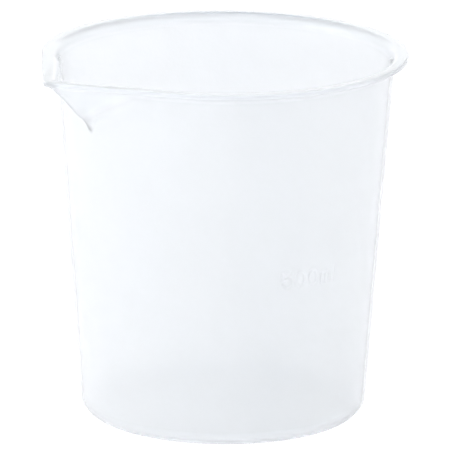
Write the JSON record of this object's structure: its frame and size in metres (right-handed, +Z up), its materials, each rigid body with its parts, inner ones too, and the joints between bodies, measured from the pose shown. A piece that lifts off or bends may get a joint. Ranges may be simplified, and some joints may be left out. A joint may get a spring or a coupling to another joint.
{
  "type": "beaker",
  "caption": "Tapered translucent plastic laboratory beaker with a flat flanged rim, a V-shaped pouring spout and a raised capacity mark.",
  "frame": {"origin": "on the vessel's axis at the standing plane, the middle of the flat underside", "axes": "+Z up through the open mouth; the pouring spout points to -X; the raised capacity mark faces -Y"},
  "size_m": [0.1435, 0.13, 0.1315],
  "materials": {
    "vessel": "translucent milky polypropylene, satin",
    "marks": "translucent milky polypropylene, raised relief, satin"
  },
  "bodies": {
    "root": {"floor_panel": "vessel", "heel_ring": "vessel", "side_wall": "vessel", "collar_wall": "vessel", "pouring_spout": "vessel", "rim_flange": "vessel", "mark_five": "marks", "mark_zero_left": "marks", "mark_zero_right": "marks", "mark_m": "marks", "mark_l": "marks"}
  },
  "joints": []
}
